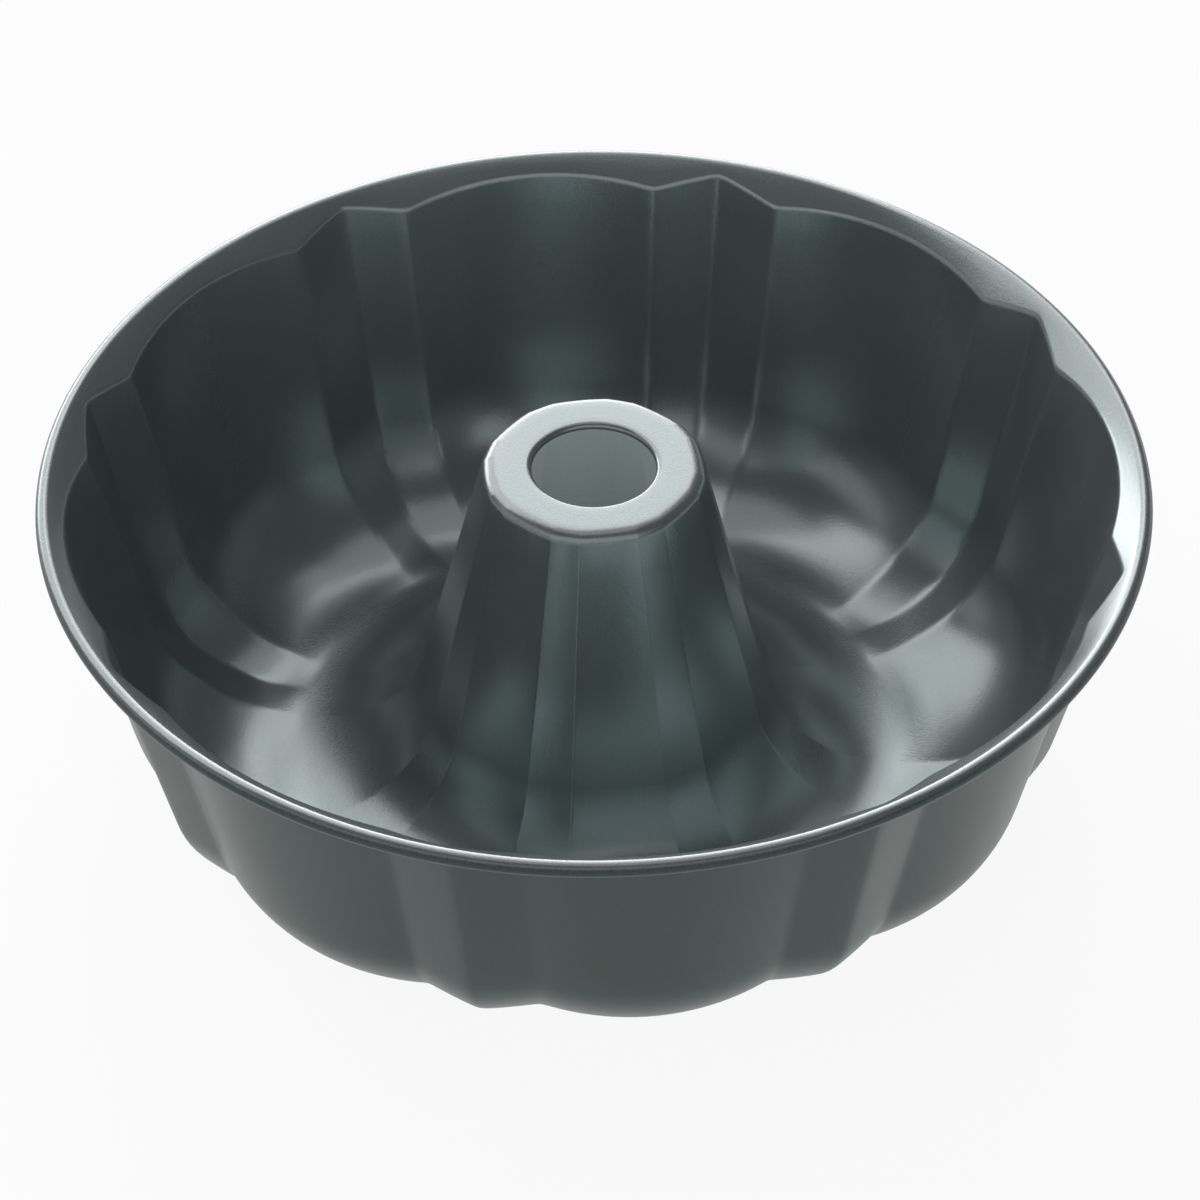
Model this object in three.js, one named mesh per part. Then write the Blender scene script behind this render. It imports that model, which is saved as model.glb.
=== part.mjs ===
import * as THREE from 'three';
import { ParametricGeometry } from 'three/addons/geometries/ParametricGeometry.js';

// Fluted tube pan: one deep-drawn steel sheet with its outer edge rolled over a wire.
// Millimetres and degrees, +Z up. The origin is on the axis, in the plane that the pan stands on.

// Overall sizes
const rimDiameter = 260; // over the rolled rim
const rimHeight = 84; // standing plane to the top of the rim
const tubeHeight = 88.2; // standing plane to the flat top of the tube

// Sheet and rolled rim
const sheet = 0.8;
const wireDiameter = 1.6;
const wireClearance = 0.3; // between the wire and the sheet rolled round it
const curlWrap = 278; // turn of the sheet round the wire
const shoulderSlope = 38; // from level, rising outwards to the rim
const shoulderRadius = 3; // bend from the wall into the shoulder, inner face
const shoulderSpan = 4.5; // crown of a wide lobe, inner face, to the wire's centre at the wire's height

// Wall and trough
const wallDraft = 12.3; // from upright
const troughRadius = 33; // wall into the floor, inner face
const fluteRunOut = 6; // level stretch inside the trough's arc, where the flutes die out
const standingFlat = 2.5; // width of the level ring that the pan stands on

// Tube
const tubeTopRadius = 25.9; // where the flank's corners would meet the flat top
const tubeDraft = 14; // from upright
const tubeEdgeRadius = 3.5; // flat top into the flank
const tubeFlatShare = 0.5; // how far the flank's flats are cut at the top edge, of their full depth below
const tubeHoleRadius = 14.5;
const holeEdgeRadius = 1.4; // edge of the hole, turned down

// Flutes: each repeat is one wide round lobe and one narrow lobe with a sharp crest
const fluteRepeats = 8;
const narrowHalfAngle = 7.45; // crest of the narrow lobe to the ridge beside it
const ridgeDepthTop = 2.3; // ridge inside the wide lobe's crown, at the top of the wall
const ridgeDepthFoot = 3.55; // the same at the foot of the wall
const narrowDepth = 3.55; // crest of the narrow lobe outside its ridges

// Facets
const narrowColumns = 4; // across a narrow lobe
const wideColumns = 6; // across a wide lobe
const holeEdgeSteps = 2;
const tubeEdgeSteps = 3;
const tubeFootSteps = 5;
const runOutSteps = 2;
const troughSteps = 7;
const shoulderSteps = 2;
const curlSteps = 8;
const wireSteps = 10;

const radians = THREE.MathUtils.degToRad;

// A section lies in a half-plane through the axis: x is the radius, y is the height. It is walked from the
// tube's hole outwards with the food side of the sheet on the left, so a heading is an angle from level.
const along = (heading) => new THREE.Vector2(Math.cos(heading), Math.sin(heading));
const toRight = (heading) => new THREE.Vector2(Math.sin(heading), -Math.cos(heading));

const tubeHeading = -radians(90 - tubeDraft);
const wallHeading = radians(90 - wallDraft);
const shoulderHeading = radians(shoulderSlope);

// The rolled rim: wire, clearance and sheet set its size, and the overall sizes set its place
const wireRadius = wireDiameter / 2;
const curlRadius = wireRadius + wireClearance + sheet;
const wireCentre = new THREE.Vector2(rimDiameter / 2 - curlRadius, rimHeight - curlRadius);

// The wide lobes' crown line, and the trough arc that is tangent to it and to the floor
const crownTop = new THREE.Vector2(wireCentre.x - shoulderSpan, wireCentre.y);
const troughHeight = sheet + troughRadius;
const crownReach = troughRadius + (crownTop.y - troughHeight) * Math.cos(wallHeading);
const troughCentre = new THREE.Vector2(crownTop.x - crownReach / Math.sin(wallHeading), troughHeight);

// The tube's flank, and the foot arc that is tangent to it and to the inner edge of the standing ring
const flankTop = new THREE.Vector2(tubeTopRadius, tubeHeight);
const flankSide = toRight(tubeHeading);
const standingOuter = troughCentre.x - fluteRunOut;
const standingInner = standingOuter - standingFlat;
const footReach = flankSide.x * (flankTop.x - standingInner) + flankSide.y * (flankTop.y - sheet);
const footRadius = footReach / (1 + flankSide.y);
const footCentre = new THREE.Vector2(standingInner, sheet + footRadius);
const holeEdgeCentre = new THREE.Vector2(tubeHoleRadius + holeEdgeRadius, tubeHeight - holeEdgeRadius);
const tubeEdgeCentre = new THREE.Vector2(
  flankTop.x + tubeEdgeRadius * (1 + flankSide.y) / flankSide.x,
  tubeHeight - tubeEdgeRadius,
);

// Places on the food side of the sheet along an arc. A left turn has a positive radius.
function arc(centre, radius, fromHeading, toHeading, steps) {
  return Array.from({ length: steps + 1 }, (_, i) => {
    const heading = THREE.MathUtils.lerp(fromHeading, toHeading, i / steps);
    return { at: toRight(heading).multiplyScalar(radius).add(centre), heading };
  });
}

// How far the wall stands outside the crown line at an angle round the axis: a wide lobe falls in a
// parabola from its crown to the ridges, and a narrow lobe rises straight from them to its crest.
function fluteOffset(angle, ridgeDepth) {
  const repeat = 2 * Math.PI / fluteRepeats;
  const narrowHalf = radians(narrowHalfAngle);
  const fromCrest = Math.abs(THREE.MathUtils.euclideanModulo(angle, repeat) - repeat / 2);
  if (fromCrest < narrowHalf) {
    return narrowDepth * (1 - fromCrest / narrowHalf) - ridgeDepth;
  }
  const fromCrown = (repeat / 2 - fromCrest) / (repeat / 2 - narrowHalf);
  return -ridgeDepth * fromCrown ** 2;
}

// How far the flat between two ridge angles lies inside the round tube through them, as a share of its
// radius
function flatCut(angle) {
  const halfRepeat = Math.PI / fluteRepeats;
  const narrowHalf = radians(narrowHalfAngle);
  const fromCrest = Math.abs(THREE.MathUtils.euclideanModulo(angle, 2 * halfRepeat) - halfRepeat);
  if (fromCrest < narrowHalf) {
    return 1 - Math.cos(narrowHalf) / Math.cos(fromCrest);
  }
  return 1 - Math.cos(halfRepeat - narrowHalf) / Math.cos(halfRepeat - fromCrest);
}

// Hole edge, flat top, flank and foot of the tube, up to the inner edge of the standing ring. The flank has
// a flat under each lobe, which dies out along the foot.
function tubeStations(angle) {
  const cut = flatCut(angle);
  const edge = arc(tubeEdgeCentre, -tubeEdgeRadius, 0, tubeHeading, tubeEdgeSteps);
  const foot = arc(footCentre, footRadius, tubeHeading, 0, tubeFootSteps);
  edge.forEach(({ at }) => { at.x *= 1 - cut * tubeFlatShare; });
  foot.forEach(({ at, heading }) => { at.x *= 1 - cut * (1 - (1 - heading / tubeHeading) ** 2); });
  return [
    ...arc(holeEdgeCentre, -holeEdgeRadius, Math.PI / 2, 0, holeEdgeSteps),
    ...edge,
    ...foot,
  ];
}

// The level run-out and the arc from the standing ring to the foot of the wall. The flutes grow along them
// from nothing at the standing ring to their full depth at the foot of the wall.
function troughStations(angle) {
  const offset = fluteOffset(angle, ridgeDepthFoot);
  const runOut = Array.from({ length: runOutSteps }, (_, i) => (
    { at: new THREE.Vector2(standingOuter + fluteRunOut * i / runOutSteps, sheet), heading: 0 }));
  const bend = arc(troughCentre, troughRadius, 0, wallHeading, troughSteps);
  const length = fluteRunOut + troughRadius * wallHeading;
  return [...runOut, ...bend].map(({ at, heading }) => {
    const walked = Math.min(at.x, troughCentre.x) - standingOuter + troughRadius * heading;
    const share = 1 - (1 - walked / length) ** 2;
    return { at: toRight(heading).multiplyScalar(offset * share).add(at), heading };
  });
}

// The bend where the wall runs out into the sloping shoulder
function shoulderStations(angle, wallFoot) {
  const wallTop = toRight(wallHeading).multiplyScalar(fluteOffset(angle, ridgeDepthTop)).add(crownTop);
  const wall = wallTop.clone().sub(wallFoot);
  const heading = wall.angle();
  const shoulderEnd = toRight(shoulderHeading).multiplyScalar(-curlRadius).add(wireCentre);
  const shoulder = along(shoulderHeading);
  const reach = shoulderEnd.clone().sub(wallFoot).cross(shoulder) / along(heading).cross(shoulder);
  const tangent = shoulderRadius * Math.tan((heading - shoulderHeading) / 2);
  const bendStart = along(heading).multiplyScalar(reach - tangent).add(wallFoot);
  const bendCentre = toRight(heading).multiplyScalar(shoulderRadius).add(bendStart);
  return arc(bendCentre, -shoulderRadius, heading, shoulderHeading, shoulderSteps);
}

function curlStations() {
  return arc(wireCentre, -curlRadius, shoulderHeading, shoulderHeading - radians(curlWrap), curlSteps);
}

// Closed outline of the sheet at an angle: out along the food side and back along the underside
function shellSection(angle) {
  const trough = troughStations(angle);
  const stations = [
    ...tubeStations(angle),
    ...trough,
    ...shoulderStations(angle, trough.at(-1).at),
    ...curlStations(),
  ];
  const underside = stations.map(({ at, heading }) => toRight(heading).multiplyScalar(sheet).add(at));
  return [...stations.map(({ at }) => at), ...underside.reverse()];
}

function wireSection() {
  return Array.from({ length: wireSteps }, (_, i) =>
    along(-2 * Math.PI * i / wireSteps).multiplyScalar(wireRadius).add(wireCentre));
}

// Angles round the axis with a column on every ridge, crest and crown
function columnAngles() {
  const repeat = 2 * Math.PI / fluteRepeats;
  const narrowHalf = radians(narrowHalfAngle);
  const angles = [];
  for (let k = 0; k < fluteRepeats; k += 1) {
    const crest = (k + 0.5) * repeat;
    for (let i = 0; i < narrowColumns; i += 1) {
      angles.push(crest + narrowHalf * (2 * i / narrowColumns - 1));
    }
    for (let i = 0; i < wideColumns; i += 1) {
      angles.push(crest + narrowHalf + (repeat - 2 * narrowHalf) * i / wideColumns);
    }
  }
  return angles;
}

// A closed section carried once round the axis, through every column
function carryRound(sectionAt) {
  const angles = columnAngles();
  const sections = angles.map(sectionAt);
  const points = sections[0].length;
  const place = (u, v, target) => {
    const column = Math.round(v * angles.length) % angles.length;
    const point = sections[column][Math.round(u * points) % points];
    const angle = angles[column];
    target.set(point.x * Math.cos(angle), point.x * Math.sin(angle), point.y);
  };
  return new ParametricGeometry(place, points, angles.length);
}

function makePanShell() {
  const material = new THREE.MeshStandardMaterial({ color: 0x39464a, roughness: 0.4, metalness: 0.7 });
  const mesh = new THREE.Mesh(carryRound(shellSection), material);
  mesh.name = 'pan_shell';
  return mesh;
}

function makeRimWire() {
  const material = new THREE.MeshStandardMaterial({ color: 0xa9adb0, roughness: 0.35, metalness: 1 });
  const mesh = new THREE.Mesh(carryRound(wireSection), material);
  mesh.name = 'rim_wire';
  return mesh;
}

const flutedTubePan = new THREE.Group();
flutedTubePan.add(makePanShell(), makeRimWire());

export default flutedTubePan;
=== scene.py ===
"""Looks of the fluted tube pan: coated sheet, wire in the rolled rim, and the studio around."""

import logging
import math
from dataclasses import dataclass, field
from enum import Enum
from typing import Optional

import bpy
import numpy as np
from mathutils import Matrix, Vector


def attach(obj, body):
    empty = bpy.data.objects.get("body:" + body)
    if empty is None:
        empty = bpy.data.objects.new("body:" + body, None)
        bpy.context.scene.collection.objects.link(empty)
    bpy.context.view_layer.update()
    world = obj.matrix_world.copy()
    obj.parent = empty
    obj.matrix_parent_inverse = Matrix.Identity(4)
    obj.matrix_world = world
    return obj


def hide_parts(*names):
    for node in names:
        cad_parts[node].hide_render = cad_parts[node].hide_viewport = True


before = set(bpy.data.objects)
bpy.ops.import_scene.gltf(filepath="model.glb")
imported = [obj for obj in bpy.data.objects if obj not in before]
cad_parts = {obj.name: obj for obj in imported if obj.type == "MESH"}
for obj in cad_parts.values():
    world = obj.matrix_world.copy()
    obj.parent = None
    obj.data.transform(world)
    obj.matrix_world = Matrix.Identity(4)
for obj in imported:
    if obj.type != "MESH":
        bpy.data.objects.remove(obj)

LOG = logging.getLogger("fluted_tube_pan")
MM = 0.001
LAMP_WATTS_PER_M2 = 4.0  # of an area lamp that shows at a brightness of 1
Colour = tuple[float, float, float]
Stations = tuple[np.ndarray, np.ndarray]


class SocketKind(Enum):
    """Kinds of socket that a shader node group can have."""

    VALUE = "NodeSocketFloat"
    VECTOR = "NodeSocketVector"


class LampShape(Enum):
    """Outlines of a soft lamp."""

    RECTANGLE = "RECTANGLE"
    ELLIPSE = "ELLIPSE"


def along(heading: np.ndarray) -> np.ndarray:
    """Unit step in a section at a heading: (cos, sin) of the angle from level."""
    return np.stack([np.cos(heading), np.sin(heading)], axis=-1)


def to_right(heading: np.ndarray) -> np.ndarray:
    """Unit step to the right of a heading: (sin, -cos), into the sheet from its food side."""
    return np.stack([np.sin(heading), -np.cos(heading)], axis=-1)


def cross(a: np.ndarray, b: np.ndarray) -> np.ndarray:
    """Plane cross product ax*by - ay*bx of two arrays of pairs."""
    return a[..., 0] * b[..., 1] - a[..., 1] * b[..., 0]


def between(start: np.ndarray, end: np.ndarray, steps: int) -> np.ndarray:
    """Inner points of a straight run, without its two ends.

    Args:
        start: First end, one pair or one pair per column.
        end: Other end, of the same shape.
        steps: How many equal steps the run is cut into.

    Returns:
        Points start + (end - start) * t with t on an extra first axis.
    """
    t = np.linspace(0.0, 1.0, steps + 1)[1:-1].reshape((-1,) + (1,) * start.ndim)
    return start + (end - start) * t


def arc(
        centre: np.ndarray, radius: float, start: float, end: float, steps: int) -> Stations:
    """Points of an arc in a section, centre + radius * to_right(heading), with even headings.

    Args:
        centre: Radius and height of the arc's centre.
        radius: Radius of the arc; a left turn has a positive one.
        start: First heading.
        end: Last heading.
        steps: How many equal steps the turn is cut into.

    Returns:
        Points and headings.
    """
    heading = np.linspace(start, end, steps + 1)
    return centre + radius * to_right(heading), heading


def grid_mesh(name: str, grid: np.ndarray, smooth_angle: float) -> bpy.types.Object:
    """Mesh of a grid that closes on itself both ways, like a ring with a closed section.

    Args:
        name: Name of the new object.
        grid: Points in metres, of shape (section, column, 3).
        smooth_angle: Edges that bend more than this many degrees stay sharp.

    Returns:
        The object, linked to the scene, with a UV map "sheet" of column and section shares.
    """
    rows, columns = grid.shape[:2]
    i, j = np.meshgrid(np.arange(rows), np.arange(columns), indexing="ij")
    i_next, j_next = (i + 1) % rows, (j + 1) % columns
    corners = np.stack(
        [i * columns + j, i_next * columns + j, i_next * columns + j_next, i * columns + j_next],
        axis=-1).reshape(-1, 4)
    mesh = bpy.data.meshes.new(name)
    mesh.from_pydata(grid.reshape(-1, 3), [], corners)
    u = np.stack([j, j, j + 1, j + 1], axis=-1).reshape(-1) / columns
    v = np.stack([i, i + 1, i + 1, i], axis=-1).reshape(-1) / rows
    layer = mesh.uv_layers.new(name="sheet")
    layer.data.foreach_set("uv", np.stack([u, v], axis=-1).astype(np.float32).ravel())
    mesh.shade_smooth()
    mesh.set_sharp_from_angle(angle=math.radians(smooth_angle))
    obj = bpy.data.objects.new(name, mesh)
    bpy.context.scene.collection.objects.link(obj)
    return obj


def carry_round(section: np.ndarray, angles: np.ndarray) -> np.ndarray:
    """Turns section points (radius, height) about Z: x = r cos a, y = r sin a, z = height.

    Args:
        section: Array of shape (section, column, 2).
        angles: Angle of each column in radians.

    Returns:
        Points of shape (section, column, 3).
    """
    radius, height = section[..., 0], section[..., 1]
    return np.stack([radius * np.cos(angles), radius * np.sin(angles), height], axis=-1)


class NodeBench:
    """Small helper that adds nodes to one tree and joins their sockets."""

    SPACING = 200.0

    def __init__(self, tree: bpy.types.NodeTree) -> None:
        """Keeps the tree and starts placing nodes at its left."""
        self.tree = tree
        self.column = 0

    def add(self, kind: str, **settings: object) -> bpy.types.Node:
        """Adds a node.

        Args:
            kind: Blender's node type name.
            **settings: Attributes of the node to set.

        Returns:
            The new node.
        """
        node = self.tree.nodes.new(kind)
        node.location = (self.column * self.SPACING, 0.0)
        self.column += 1
        for key, value in settings.items():
            setattr(node, key, value)
        return node

    def join(self, source: bpy.types.NodeSocket, target: bpy.types.NodeSocket) -> None:
        """Links an output to an input."""
        self.tree.links.new(source, target)

    def math(
            self, operation: str, a: object, b: object,
            c: Optional[object] = None) -> bpy.types.NodeSocket:
        """Adds a Math node.

        Args:
            operation: Blender's name of the operation.
            a: Number or output for the first input.
            b: Number or output for the second input.
            c: Number or output for the third input, if the operation has one.

        Returns:
            The node's output.
        """
        node = self.add("ShaderNodeMath", operation=operation)
        for socket, value in zip(node.inputs, (a, b, c)):
            if isinstance(value, bpy.types.NodeSocket):
                self.join(value, socket)
            elif value is not None:
                socket.default_value = value
        return node.outputs[0]

    def mix(self, share: bpy.types.NodeSocket, a: object, b: object) -> bpy.types.NodeSocket:
        """Adds a Mix node for colours.

        Args:
            share: Output that sets the share of the second colour.
            a: Colour or output that stands at a share of 0.
            b: Colour or output that stands at a share of 1.

        Returns:
            The mixed colour's output.
        """
        node = self.add("ShaderNodeMix", data_type="RGBA")
        sockets = {socket.identifier: socket for socket in node.inputs}
        self.join(share, sockets["Factor_Float"])
        for key, value in (("A_Color", a), ("B_Color", b)):
            if isinstance(value, bpy.types.NodeSocket):
                self.join(value, sockets[key])
            else:
                sockets[key].default_value = (*value, 1.0)
        return next(socket for socket in node.outputs if socket.identifier == "Result_Color")


class GrainGroup:
    """Node group for a fine even grain with slow drift, used by the coating and by the wire.

    Grain is fractal noise on Object coordinates at a fine scale, stretched to 0..1 about its mean.
    Drift is the same at a coarse scale. Height is Grain + Drift * Drift Share, for a Bump node.
    """

    NAME = "sheet grain"
    INPUTS = (("Grain Scale", 1500.0), ("Drift Scale", 40.0), ("Drift Share", 0.5))
    OUTPUTS = ("Grain", "Drift", "Height")
    DETAILS = (("Grain Scale", 2.0), ("Drift Scale", 3.0))
    NOISE_SPAN = (0.3, 0.7)

    @classmethod
    def tree(cls) -> bpy.types.NodeTree:
        """Returns the group's tree, and builds it the first time."""
        found = bpy.data.node_groups.get(cls.NAME)
        return found if found else cls._build()

    @classmethod
    def _build(cls) -> bpy.types.NodeTree:
        """Builds the group with its named sockets and returns its tree."""
        tree = bpy.data.node_groups.new(cls.NAME, "ShaderNodeTree")
        for name, value in cls.INPUTS:
            socket = tree.interface.new_socket(
                name, in_out="INPUT", socket_type=SocketKind.VALUE.value)
            socket.default_value = value
        stretch = tree.interface.new_socket(
            "Stretch", in_out="INPUT", socket_type=SocketKind.VECTOR.value)
        stretch.default_value = (1.0, 1.0, 1.0)
        for name in cls.OUTPUTS:
            tree.interface.new_socket(name, in_out="OUTPUT", socket_type=SocketKind.VALUE.value)
        bench = NodeBench(tree)
        inlet = bench.add("NodeGroupInput")
        place = bench.add("ShaderNodeTexCoord")
        mapping = bench.add("ShaderNodeMapping")
        bench.join(place.outputs["Object"], mapping.inputs["Vector"])
        bench.join(inlet.outputs["Stretch"], mapping.inputs["Scale"])
        tones = []
        for scale, detail in cls.DETAILS:
            noise = bench.add("ShaderNodeTexNoise")
            noise.inputs["Detail"].default_value = detail
            bench.join(mapping.outputs["Vector"], noise.inputs["Vector"])
            bench.join(inlet.outputs[scale], noise.inputs["Scale"])
            spread = bench.add("ShaderNodeMapRange")
            low, high = cls.NOISE_SPAN
            spread.inputs["From Min"].default_value = low
            spread.inputs["From Max"].default_value = high
            bench.join(noise.outputs[0], spread.inputs["Value"])
            tones.append(spread.outputs["Result"])
        drift_part = bench.math("MULTIPLY", tones[1], inlet.outputs["Drift Share"])
        outlet = bench.add("NodeGroupOutput")
        bench.join(tones[0], outlet.inputs["Grain"])
        bench.join(tones[1], outlet.inputs["Drift"])
        bench.join(bench.math("ADD", tones[0], drift_part), outlet.inputs["Height"])
        return tree


@dataclass(frozen=True)
class CoatedSheet:
    """Finish of the sheet: a metallic non-stick coat on the food side, and a duller coat outside.

    Both coats have fine flake and a slow drift of tone and gloss, and are rubbed lighter where the
    piece's "wear" attribute says so. The piece's "outside" attribute tells the two apart, and also
    carries painted shade, the darker coat on the down-facing part of the rolled rim, and painted
    light, the lighter food-side coat inside the tube.
    """

    # food-side coat; inside the tube it is also painted light
    inside: Colour = (0.208, 0.262, 0.262)
    inside_flake: Colour = (0.248, 0.308, 0.307)
    # outside coat; on the down-facing part of the rolled rim it is also painted shade
    outside: Colour = (0.016, 0.038, 0.034)
    outside_flake: Colour = (0.026, 0.054, 0.049)
    worn: Colour = (0.330, 0.350, 0.345)
    inside_metallic: float = 0.72
    outside_metallic: float = 0.3
    roughness: float = 0.225
    outside_roughness: float = 0.32
    roughness_spread: float = 0.05
    grain_scale: float = 1600.0
    drift_scale: float = 28.0
    bump_depth: float = 0.02 * MM
    bump_strength: float = 0.5
    drift_share: float = 1.5
    speck_tone: float = 0.5
    drift_tone: float = 0.3

    def material(self) -> bpy.types.Material:
        """Builds the material and returns it."""
        made = bpy.data.materials.new("coated sheet")
        made.use_nodes = True
        bench = NodeBench(made.node_tree)
        shader = made.node_tree.nodes["Principled BSDF"]
        grain = bench.add("ShaderNodeGroup", node_tree=GrainGroup.tree())
        grain.inputs["Grain Scale"].default_value = self.grain_scale
        grain.inputs["Drift Scale"].default_value = self.drift_scale
        grain.inputs["Drift Share"].default_value = self.drift_share
        wear = bench.add("ShaderNodeAttribute", attribute_name="wear")
        side = bench.add("ShaderNodeAttribute", attribute_name="outside")
        speck = bench.math("MULTIPLY", grain.outputs["Grain"], self.speck_tone)
        tone = bench.math("MULTIPLY_ADD", grain.outputs["Drift"], self.drift_tone, speck)
        food = bench.mix(tone, self.inside, self.inside_flake)
        outer = bench.mix(tone, self.outside, self.outside_flake)
        # mix by the outside attribute, which carries painted rim shade and painted tube light besides
        # the two coats
        coat = bench.mix(side.outputs["Fac"], food, outer)
        rubbed = bench.math("MULTIPLY", wear.outputs["Fac"], grain.outputs["Grain"])
        bench.join(bench.mix(rubbed, coat, self.worn), shader.inputs["Base Color"])
        drop = self.outside_metallic - self.inside_metallic
        metal = bench.math("MULTIPLY_ADD", side.outputs["Fac"], drop, self.inside_metallic)
        bench.join(metal, shader.inputs["Metallic"])
        gloss = bench.math(
            "MULTIPLY_ADD", grain.outputs["Drift"], self.roughness_spread, self.roughness)
        step = self.outside_roughness - self.roughness
        rough = bench.math("MULTIPLY_ADD", side.outputs["Fac"], step, gloss)
        bench.join(rough, shader.inputs["Roughness"])
        bump = bench.add("ShaderNodeBump")
        bump.inputs["Distance"].default_value = self.bump_depth
        bump.inputs["Strength"].default_value = self.bump_strength
        bench.join(grain.outputs["Height"], bump.inputs["Height"])
        bench.join(bump.outputs["Normal"], shader.inputs["Normal"])
        return made


@dataclass(frozen=True)
class DrawnWire:
    """Finish of the rim's wire: bright drawn steel with a little scale."""

    bright: Colour = (0.56, 0.57, 0.58)
    dull: Colour = (0.34, 0.34, 0.34)
    roughness: float = 0.28
    roughness_spread: float = 0.15
    grain_scale: float = 2200.0
    drift_scale: float = 160.0
    bump_depth: float = 0.01 * MM

    def material(self) -> bpy.types.Material:
        """Builds the material and returns it."""
        made = bpy.data.materials.new("drawn wire")
        made.use_nodes = True
        bench = NodeBench(made.node_tree)
        shader = made.node_tree.nodes["Principled BSDF"]
        shader.inputs["Metallic"].default_value = 1.0
        grain = bench.add("ShaderNodeGroup", node_tree=GrainGroup.tree())
        grain.inputs["Grain Scale"].default_value = self.grain_scale
        grain.inputs["Drift Scale"].default_value = self.drift_scale
        tone = bench.mix(grain.outputs["Drift"], self.bright, self.dull)
        bench.join(tone, shader.inputs["Base Color"])
        rough = bench.math(
            "MULTIPLY_ADD", grain.outputs["Grain"], self.roughness_spread, self.roughness)
        bench.join(rough, shader.inputs["Roughness"])
        bump = bench.add("ShaderNodeBump")
        bump.inputs["Distance"].default_value = self.bump_depth
        bench.join(grain.outputs["Height"], bump.inputs["Height"])
        bench.join(bump.outputs["Normal"], shader.inputs["Normal"])
        return made


@dataclass
class Flutes:
    """Law of the wall round the axis: wide round lobes with narrow sharp lobes between them."""

    repeats: int = 8
    narrow_half_angle: float = math.radians(7.45)
    narrow_depth: float = 3.55 * MM
    edge_softness: float = math.radians(0.55)
    flat_softness: float = math.radians(0.3)
    narrow_columns: int = 26
    wide_columns: int = 32
    law_points: int = 2048

    @property
    def repeat(self) -> float:
        """Angle of one wide and one narrow lobe together."""
        return 2.0 * math.pi / self.repeats

    def angles(self) -> np.ndarray:
        """Column angles for the whole turn, crowded at ridges and crests by 1 - cos of even steps."""
        half, flank = self.narrow_half_angle, self.narrow_columns // 2
        runs = (
            (-half, 0.0, flank), (0.0, half, flank), (half, self.repeat - half, self.wide_columns))
        one = np.concatenate([
            low + (high - low) * (1.0 - np.cos(np.pi * np.arange(steps) / steps)) / 2
            for low, high, steps in runs])
        crests = (np.arange(self.repeats) + 0.5) * self.repeat
        return (crests[:, None] + one[None, :]).ravel()

    def _fine(self) -> np.ndarray:
        """Fine even angles over one repeat, on which the laws are worked out."""
        return np.linspace(0.0, self.repeat, self.law_points, endpoint=False)

    def _softened(self, law: np.ndarray, softness: float, angles: np.ndarray) -> np.ndarray:
        """Rounds a law's corners over one repeat with a bell curve, and reads it at the angles."""
        fine = self._fine()
        bell = np.exp(-0.5 * (np.minimum(fine, self.repeat - fine) / softness) ** 2)
        smooth = np.fft.irfft(np.fft.rfft(law) * np.fft.rfft(bell / bell.sum()), len(fine))
        fine, smooth = np.append(fine, self.repeat), np.append(smooth, smooth[0])
        return np.interp(np.mod(angles, self.repeat), fine, smooth)

    def flat_cut(self, angles: np.ndarray) -> np.ndarray:
        """How far flats between the ridge angles lie inside a round tube through them.

        A flat is a chord, so its share of the radius is 1 - cos(half) / cos(from its middle), with
        softened corners.

        Args:
            angles: Angles round the axis.

        Returns:
            Shares of the radius, one per angle.
        """
        half_repeat, half = self.repeat / 2, self.narrow_half_angle
        from_crest = np.abs(self._fine() - half_repeat)
        narrow = 1.0 - math.cos(half) / np.cos(from_crest)
        wide = 1.0 - math.cos(half_repeat - half) / np.cos(half_repeat - from_crest)
        return self._softened(np.where(from_crest < half, narrow, wide), self.flat_softness, angles)

    def offset(self, angles: np.ndarray, ridge_depth: float) -> np.ndarray:
        """How far the wall stands outside the crown of the wide lobes.

        A wide lobe falls in a parabola from its crown to the ridges, and a narrow lobe rises
        straight from them to its crest. A bell curve over the angle then rounds ridges and crests.

        Args:
            angles: Angles round the axis.
            ridge_depth: Depth of the ridges inside the crown.

        Returns:
            Offsets in metres, one per angle.
        """
        repeat, half = self.repeat, self.narrow_half_angle
        from_crest = np.abs(self._fine() - repeat / 2)
        narrow = self.narrow_depth * (1.0 - from_crest / half) - ridge_depth
        wide = -ridge_depth * ((repeat / 2 - from_crest) / (repeat / 2 - half)) ** 2
        return self._softened(np.where(from_crest < half, narrow, wide), self.edge_softness, angles)


@dataclass(frozen=True)
class SectionSteps:
    """How many steps each run of the sheet's section is cut into, from the hole to the rim."""

    hole: int = 8
    top: int = 4
    edge: int = 8
    flank: int = 8
    foot: int = 14
    land: int = 2
    run_out: int = 5
    trough: int = 18
    wall: int = 8
    bend: int = 6
    shoulder: int = 2
    curl: int = 20


@dataclass(frozen=True)
class WornBand:
    """A rubbed band round the pan: a bell curve about a circle, with its reach across and up."""

    share: float
    across: float
    up: float

    def at(self, radius: np.ndarray, height: np.ndarray, centre: np.ndarray) -> np.ndarray:
        """Wear at points: share * exp(-(dr / across)^2 - (dz / up)^2).

        Args:
            radius: Radius of each point.
            height: Height of each point.
            centre: Radius and height of the circle.

        Returns:
            Shares of wear, one per point.
        """
        across, up = (radius - centre[0]) / self.across, (height - centre[1]) / self.up
        return self.share * np.exp(-(across ** 2) - up ** 2)


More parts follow.
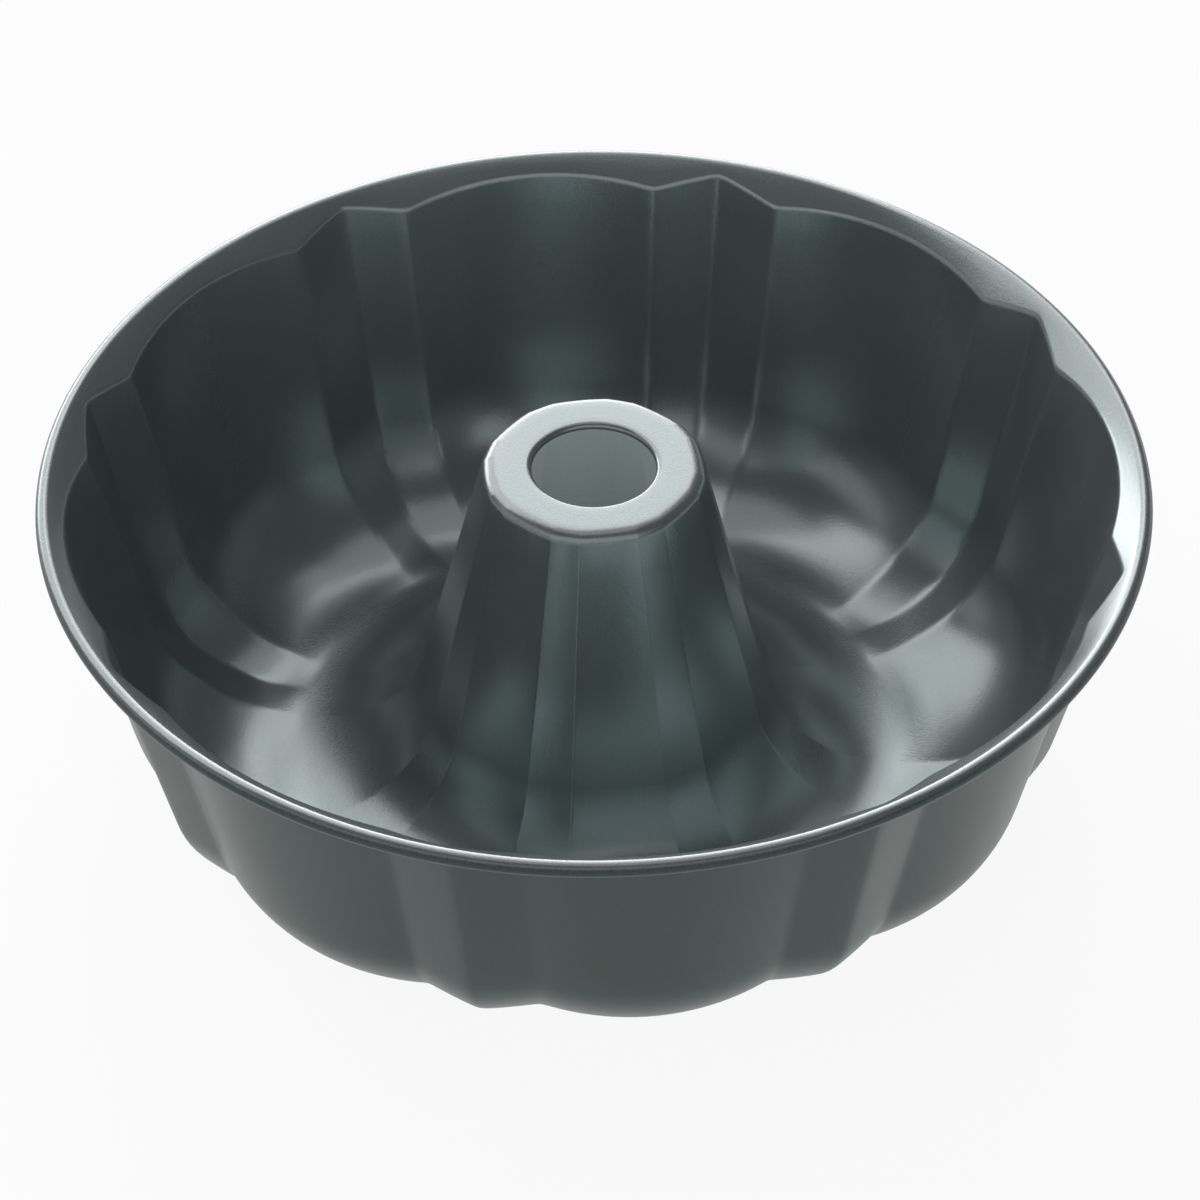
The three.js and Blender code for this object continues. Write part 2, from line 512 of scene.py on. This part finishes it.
@dataclass
class PanShell:
    """The drawn sheet: tube, trough, fluted wall, shoulder and rolled rim in one piece."""

    flutes: Flutes = field(default_factory=Flutes)
    finish: CoatedSheet = field(default_factory=CoatedSheet)
    steps: SectionSteps = field(default_factory=SectionSteps)
    rim_diameter: float = 260.0 * MM
    rim_height: float = 84.0 * MM
    tube_height: float = 88.2 * MM
    sheet: float = 0.8 * MM
    wire_diameter: float = 1.6 * MM
    wire_clearance: float = 0.3 * MM
    curl_wrap: float = math.radians(278.0)
    shoulder_heading: float = math.radians(38.0)
    shoulder_radius: float = 3.0 * MM
    shoulder_span: float = 4.5 * MM
    wall_heading: float = math.radians(90.0 - 12.3)
    trough_radius: float = 33.0 * MM
    flute_run_out: float = 6.0 * MM
    standing_flat: float = 2.5 * MM
    tube_top_radius: float = 25.9 * MM
    tube_heading: float = -math.radians(90.0 - 14.0)
    tube_edge_radius: float = 3.5 * MM
    tube_flat_share: float = 0.5
    tube_hole_radius: float = 14.5 * MM
    hole_edge_radius: float = 1.4 * MM
    ridge_depth_top: float = 2.3 * MM
    ridge_depth_foot: float = 3.55 * MM
    rim_wear: WornBand = WornBand(0.35, 2.2 * MM, 1.2 * MM)
    edge_wear: WornBand = WornBand(0.5, 1.6 * MM, 1.5 * MM)
    edge_wear_inset: float = 1.5 * MM
    # heading past which the rolled rim takes the darker coat as painted shade
    rim_shade_turn: float = math.radians(30.0)
    sharp_angle: float = 50.0

    @property
    def curl_radius(self) -> float:
        """Outer radius of the rolled rim."""
        return self.wire_diameter / 2 + self.wire_clearance + self.sheet

    @property
    def wire_centre(self) -> np.ndarray:
        """Radius and height of the wire's centre line."""
        return np.array([self.rim_diameter / 2, self.rim_height]) - self.curl_radius

    def _tube(self, angles: np.ndarray) -> Stations:
        """Turned-down hole edge, flat top, rounded edge, flank and foot of the tube.

        Flats narrow the round section to radius * (1 - cut * share). The share is tube_flat_share
        along the rounded edge, and 1 - (1 - heading / tube_heading)^2 along the foot.

        Args:
            angles: Angle of each column.

        Returns:
            Points of shape (station, column, 2) and headings of shape (station, column).
        """
        side = to_right(np.array(self.tube_heading))
        inner = self._trough_centre()[0] - self.flute_run_out - self.standing_flat
        reach = side[0] * (self.tube_top_radius - inner) + side[1] * (self.tube_height - self.sheet)
        foot_radius = reach / (1.0 + side[1])
        edge_centre = np.array([
            self.tube_top_radius + self.tube_edge_radius * (1.0 + side[1]) / side[0],
            self.tube_height - self.tube_edge_radius,
        ])
        turn = self.hole_edge_radius
        hole, hole_heading = arc(
            np.array([self.tube_hole_radius + turn, self.tube_height - turn]), -turn,
            math.pi / 2, 0.0, self.steps.hole)
        edge, edge_heading = arc(
            edge_centre, -self.tube_edge_radius, 0.0, self.tube_heading, self.steps.edge)
        foot, foot_heading = arc(
            np.array([inner, self.sheet + foot_radius]), foot_radius,
            self.tube_heading, 0.0, self.steps.foot)
        cut = self.flutes.flat_cut(angles)
        foot_share = 1.0 - (1.0 - foot_heading / self.tube_heading) ** 2
        hole = np.repeat(hole[:, None], len(angles), axis=1)
        edge = self._narrowed(edge, np.full(len(edge), self.tube_flat_share), cut)
        foot = self._narrowed(foot, foot_share, cut)
        top = between(hole[-1], edge[0], self.steps.top)
        flank = between(edge[-1], foot[0], self.steps.flank)
        headings = np.concatenate([
            hole_heading, np.zeros(len(top)), edge_heading,
            np.full(len(flank), self.tube_heading), foot_heading])
        points = np.concatenate([hole, top, edge, flank, foot])
        return points, np.repeat(headings[:, None], len(angles), axis=1)

    def _narrowed(self, points: np.ndarray, share: np.ndarray, cut: np.ndarray) -> np.ndarray:
        """Carries section points to all columns with the radius times (1 - share * cut)."""
        scale = 1.0 - share[:, None] * cut
        height = np.repeat(points[:, 1:], len(cut), axis=1)
        return np.stack([points[:, :1] * scale, height], axis=-1)

    def _trough_centre(self) -> np.ndarray:
        """Centre of the trough's arc, which is tangent to the crown line and to the floor."""
        crown = self.wire_centre - [self.shoulder_span, 0.0]
        height = self.sheet + self.trough_radius
        reach = self.trough_radius + (crown[1] - height) * math.cos(self.wall_heading)
        return np.array([crown[0] - reach / math.sin(self.wall_heading), height])

    def _trough(self, angles: np.ndarray) -> Stations:
        """A level run-out and the trough's arc, moved out by the flutes.

        The flutes' share is 1 - (1 - walked / length)^2 along the two.

        Args:
            angles: Angle of each column.

        Returns:
            Points of shape (station, column, 2) and headings of shape (station, column).
        """
        centre = self._trough_centre()
        bend, heading = arc(
            centre, self.trough_radius, 0.0, self.wall_heading, self.steps.trough)
        start = np.array([centre[0] - self.flute_run_out, self.sheet])
        level = np.concatenate([start[None], between(start, bend[0], self.steps.run_out)])
        walked = np.concatenate([
            level[:, 0] - start[0], self.flute_run_out + self.trough_radius * heading])
        points = np.concatenate([level, bend])
        heading = np.concatenate([np.zeros(len(level)), heading])
        share = 1.0 - (1.0 - walked / walked[-1]) ** 2
        offset = self.flutes.offset(angles, self.ridge_depth_foot)
        moved = points[:, None] + to_right(heading)[:, None] * (share[:, None] * offset)[..., None]
        return moved, np.repeat(heading[:, None], len(angles), axis=1)

    def _wall(self, angles: np.ndarray, foot: np.ndarray) -> Stations:
        """Wall, bend and shoulder above the trough.

        Each column is a straight line from the trough's end to the flute's place at the wire's
        height. It is cut by the shoulder's cone, and an arc tangent to both rounds the corner.

        Args:
            angles: Angle of each column.
            foot: Foot of the wall in each column.

        Returns:
            Points and headings from above the foot to the end of the shoulder.
        """
        top = self.wire_centre - [self.shoulder_span, 0.0]
        offset = self.flutes.offset(angles, self.ridge_depth_top)
        line = top + to_right(np.array(self.wall_heading)) * offset[:, None] - foot
        heading = np.arctan2(line[:, 1], line[:, 0])
        slope = np.array(self.shoulder_heading)
        end = self.wire_centre - self.curl_radius * to_right(slope)
        reach = cross(end - foot, along(slope)) / cross(along(heading), along(slope))
        tangent = self.shoulder_radius * np.tan((heading - slope) / 2)
        bend_start = foot + along(heading) * (reach - tangent)[:, None]
        centre = bend_start + to_right(heading) * self.shoulder_radius
        turn = heading + (slope - heading) * np.linspace(0.0, 1.0, self.steps.bend + 1)[:, None]
        bend = centre - self.shoulder_radius * to_right(turn)
        wall = between(foot, bend_start, self.steps.wall)
        shoulder = between(bend[-1], np.broadcast_to(end, foot.shape), self.steps.shoulder)
        points = np.concatenate([wall, bend, shoulder])
        headings = np.concatenate([
            np.broadcast_to(heading, wall.shape[:2]), turn,
            np.full(shoulder.shape[:2], self.shoulder_heading)])
        return points, headings

    def food_side(self, angles: np.ndarray) -> Stations:
        """Food side of the sheet from the tube's hole to the end of the rolled rim.

        Args:
            angles: Angle of each column.

        Returns:
            Points of shape (station, column, 2) and headings of shape (station, column).
        """
        columns = len(angles)
        tube, tube_heading = self._tube(angles)
        curl, curl_heading = arc(
            self.wire_centre, -self.curl_radius, self.shoulder_heading,
            self.shoulder_heading - self.curl_wrap, self.steps.curl)
        trough, trough_heading = self._trough(angles)
        wall, wall_heading = self._wall(angles, trough[-1])
        land = between(tube[-1], trough[0], self.steps.land)
        points = np.concatenate([
            tube, land, trough, wall, np.repeat(curl[:, None], columns, axis=1)])
        headings = np.concatenate([
            tube_heading, np.zeros(land.shape[:2]), trough_heading, wall_heading,
            np.repeat(curl_heading[:, None], columns, axis=1)])
        return points, headings

    def _wear(self, grid: np.ndarray) -> np.ndarray:
        """Share of wear per point, about the rim's crown and about the tube's top edge."""
        radius, height = np.hypot(grid[..., 0], grid[..., 1]), grid[..., 2]
        crown = self.wire_centre + [0.0, self.curl_radius]
        edge = np.array([self.tube_top_radius - self.edge_wear_inset, self.tube_height])
        return self.rim_wear.at(radius, height, crown) + self.edge_wear.at(radius, height, edge)

    def _outside_coat_and_painted_light(self, upper: np.ndarray, lower: np.ndarray, heading: np.ndarray) -> np.ndarray:
        """Share of the outside coat per point.

        On the rolled rim it takes over as the sheet turns down from rim_shade_turn to twice that: the
        darker coat on the down-facing part of the rim is painted shade. On the underside it takes
        over from the tube's top radius to twice that, so the lighter food-side coat inside the tube
        is painted light in the hole.

        Args:
            upper: Section points of the food side.
            lower: Section points of the underside.
            heading: Headings of both.

        Returns:
            Shares for the food side and then, walked back, for the underside.
        """
        past_wire = upper[..., 0] > self.wire_centre[0]
        # painted shade: the darker coat where the rolled rim faces down
        painted_rim_shade = np.clip(-heading / self.rim_shade_turn - 1.0, 0.0, 1.0) * past_wire
        # the outside coat on the underside, and painted light: the lighter food-side coat inside the
        # tube
        coat_and_painted_tube_light = np.clip(lower[..., 0] / self.tube_top_radius - 1.0, 0.0, 1.0)
        return np.concatenate([painted_rim_shade, coat_and_painted_tube_light[::-1]])

    def build(self) -> bpy.types.Object:
        """Builds the closed sheet, dresses it and returns its object."""
        angles = self.flutes.angles()
        upper, heading = self.food_side(angles)
        lower = upper + self.sheet * to_right(heading)
        grid = carry_round(np.concatenate([upper, lower[::-1]]), angles)
        obj = grid_mesh("pan_shell_drawn", grid, self.sharp_angle)
        # outside-coat shares, with painted rim shade and painted tube light in them
        outside = self._outside_coat_and_painted_light(upper, lower, heading)
        for name, values in (("wear", self._wear(grid)), ("outside", outside)):
            attribute = obj.data.attributes.new(name, "FLOAT", "POINT")
            attribute.data.foreach_set("value", values.astype(np.float32).ravel())
        obj.data.materials.append(self.finish.material())
        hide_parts("pan_shell")
        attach(obj, "root")
        return obj


@dataclass
class RimWire:
    """The steel wire that the sheet's edge is rolled over."""

    diameter: float
    centre: np.ndarray
    finish: DrawnWire = field(default_factory=DrawnWire)
    columns: int = 360
    steps: int = 20
    sharp_angle: float = 60.0

    def build(self) -> bpy.types.Object:
        """Builds a ring with a round section, dresses it and returns its object."""
        turn = -np.linspace(0.0, 2.0 * math.pi, self.steps, endpoint=False)
        section = self.centre + along(turn) * self.diameter / 2
        angles = np.linspace(0.0, 2.0 * math.pi, self.columns, endpoint=False)
        grid = carry_round(np.repeat(section[:, None], self.columns, axis=1), angles)
        obj = grid_mesh("rim_wire_drawn", grid, self.sharp_angle)
        obj.data.materials.append(self.finish.material())
        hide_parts("rim_wire")
        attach(obj, "root")
        return obj


@dataclass
class Softbox:
    """A soft lamp aimed at the pan.

    Bearing, elevation, breadth and rise are in degrees as seen from the pan. Brightness is what a
    mirror on the pan would show of the lamp.
    """

    name: str
    bearing: float
    elevation: float
    breadth: float
    rise: float
    brightness: float
    distance: float = 2.0
    shape: LampShape = LampShape.RECTANGLE
    colour: Colour = (1.0, 0.905, 0.92)

    def _span(self, angle: float) -> float:
        """Length that fills an angle at the lamp's distance: 2 d tan(angle / 2)."""
        return 2.0 * self.distance * math.tan(math.radians(angle) / 2)

    def build(self, view_bearing: float, aim: Vector) -> bpy.types.Object:
        """Hangs the lamp.

        Args:
            view_bearing: Bearing of the camera's line of sight, so that a lamp's bearing of 0 is
                straight behind the pan.
            aim: Point that the lamp faces.

        Returns:
            The lamp's object.
        """
        turn, rise = math.radians(view_bearing + self.bearing), math.radians(self.elevation)
        out = Vector((
            math.sin(turn) * math.cos(rise), math.cos(turn) * math.cos(rise), math.sin(rise)))
        lamp = bpy.data.lights.new(self.name, "AREA")
        lamp.shape = self.shape.value
        lamp.size, lamp.size_y = self._span(self.breadth), self._span(self.rise)
        lamp.energy = LAMP_WATTS_PER_M2 * lamp.size * lamp.size_y * self.brightness
        lamp.color = self.colour
        obj = bpy.data.objects.new(self.name, lamp)
        obj.location = aim + out * self.distance
        obj.rotation_euler = (-out).to_track_quat("-Z", "Y").to_euler()
        obj.visible_camera = False
        bpy.context.scene.collection.objects.link(obj)
        return obj


@dataclass
class Studio:
    """Pale floor, soft lamps, dark room and the camera."""

    camera_at: tuple[float, float, float] = (-0.1204, -0.8951, 0.8416)
    camera_aim: tuple[float, float, float] = (0.00125, -0.00017, 0.0461)
    camera_roll: float = math.radians(-0.29)
    focal_pixels: float = 5053.9
    image_pixels: float = 1200.0
    sensor_width: float = 36.0
    clip: tuple[float, float] = (0.01, 100.0)
    floor_size: float = 12.0
    floor_gap: float = 0.05 * MM
    floor_colour: Colour = (0.86, 0.86, 0.86)
    floor_white: float = 0.92
    room_light: float = 0.13
    sweep_fall: tuple[float, float] = (0.04, 0.10)
    lamp_aim: tuple[float, float, float] = (0.0, 0.0, 0.05)
    lamps: tuple[Softbox, ...] = (
        Softbox("lamp_main", -28.0, 44.0, 62.0, 46.0, 1.5),
        Softbox("lamp_low", -20.0, 11.5, 64.0, 17.0, 4.2),
        Softbox("lamp_back", 4.0, 27.0, 32.0, 18.0, 1.5),
        Softbox("lamp_ring", 0.0, 42.0, 14.0, 9.0, 0.8),
        Softbox("lamp_right", 38.0, 58.0, 22.0, 14.0, 0.6),
        Softbox("lamp_front", 180.0, 31.0, 90.0, 38.0, 0.6),
        Softbox("lamp_side", -105.0, 25.0, 54.0, 30.0, 0.4),
        Softbox("lamp_top", 0.0, 84.0, 40.0, 40.0, 0.4, shape=LampShape.ELLIPSE),
    )

    def camera(self) -> bpy.types.Object:
        """Sets up the camera from its place, aim, roll and focal length, and returns it."""
        at, aim = Vector(self.camera_at), Vector(self.camera_aim)
        sight = (aim - at).normalized()
        level = sight.cross(Vector((0.0, 0.0, 1.0))).normalized()
        rise = level.cross(sight)
        c, s = math.cos(self.camera_roll), math.sin(self.camera_roll)
        right, up = c * level + s * rise, c * rise - s * level
        data = bpy.data.cameras.new("camera")
        data.sensor_width = self.sensor_width
        data.lens = self.focal_pixels / self.image_pixels * data.sensor_width
        data.clip_start, data.clip_end = self.clip
        obj = bpy.data.objects.new("camera", data)
        turn = Matrix((right, up, -sight)).transposed()
        obj.matrix_world = Matrix.Translation(at) @ turn.to_4x4()
        bpy.context.scene.collection.objects.link(obj)
        bpy.context.scene.camera = obj
        return obj

    def _pale(self, name: str, share: float) -> bpy.types.Material:
        """Pale matt finish, part white to camera, glossy and transmission rays, that keeps shadows.

        Args:
            name: Name of the material.
            share: Share of plain white in what those rays see.

        Returns:
            The material.
        """
        made = bpy.data.materials.new(name)
        made.use_nodes = True
        made.node_tree.nodes.clear()
        bench = NodeBench(made.node_tree)
        rays = bench.add("ShaderNodeLightPath")
        seen = bench.math("MAXIMUM", rays.outputs["Is Camera Ray"], rays.outputs["Is Glossy Ray"])
        seen = bench.math("MAXIMUM", seen, rays.outputs["Is Transmission Ray"])
        matt = bench.add("ShaderNodeBsdfDiffuse")
        matt.inputs["Color"].default_value = (*self.floor_colour, 1.0)
        white = bench.add("ShaderNodeEmission")
        white.inputs["Color"].default_value = (1.0, 1.0, 1.0, 1.0)
        mix = bench.add("ShaderNodeMixShader")
        bench.join(bench.math("MULTIPLY", seen, share), mix.inputs[0])
        bench.join(matt.outputs[0], mix.inputs[1])
        bench.join(white.outputs[0], mix.inputs[2])
        outlet = bench.add("ShaderNodeOutputMaterial")
        bench.join(mix.outputs[0], outlet.inputs["Surface"])
        return made

    def floor(self) -> bpy.types.Object:
        """Lays a square floor just under the pan and returns it."""
        half = self.floor_size / 2
        step = np.array([[-1.0, -1.0], [1.0, -1.0], [1.0, 1.0], [-1.0, 1.0]]) * half
        corners = np.column_stack([step, np.full(4, -self.floor_gap)])
        mesh = bpy.data.meshes.new("floor")
        mesh.from_pydata(corners, [], [(0, 1, 2, 3)])
        mesh.materials.append(self._pale("pale floor", self.floor_white))
        obj = bpy.data.objects.new("floor", mesh)
        bpy.context.scene.collection.objects.link(obj)
        return obj

    def world(self) -> None:
        """Dim room whose light rises to that of the pale sweep towards the horizon."""
        world = bpy.data.worlds.new("room")
        bpy.context.scene.world = world
        world.use_nodes = True
        bench = NodeBench(world.node_tree)
        way = bench.add("ShaderNodeTexCoord")
        parts = bench.add("ShaderNodeSeparateXYZ")
        bench.join(way.outputs["Generated"], parts.inputs[0])
        fall = bench.add("ShaderNodeMapRange", interpolation_type="SMOOTHSTEP")
        ends = (*self.sweep_fall, 1.0, self.room_light)
        for name, value in zip(("From Min", "From Max", "To Min", "To Max"), ends):
            fall.inputs[name].default_value = value
        bench.join(parts.outputs["Z"], fall.inputs["Value"])
        backdrop = world.node_tree.nodes["Background"]
        backdrop.inputs["Color"].default_value = (1.0, 1.0, 1.0, 1.0)
        bench.join(fall.outputs["Result"], backdrop.inputs["Strength"])

    def build(self) -> None:
        """Builds camera, floor, world and lamps."""
        camera = self.camera()
        sight = Vector(self.camera_aim) - camera.location
        bearing = math.degrees(math.atan2(sight.x, sight.y))
        self.floor()
        self.world()
        for lamp in self.lamps:
            lamp.build(bearing, Vector(self.lamp_aim))
        bpy.context.scene.view_settings.view_transform = "Standard"


def main() -> None:
    logging.basicConfig(level=logging.INFO, format="%(name)s: %(message)s")
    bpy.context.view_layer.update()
    Studio().build()
    shell = PanShell()
    wire = RimWire(shell.wire_diameter, shell.wire_centre)
    for piece in (shell.build(), wire.build()):
        LOG.info("%s: %d faces", piece.name, len(piece.data.polygons))


if __name__ == "__main__":
    main()
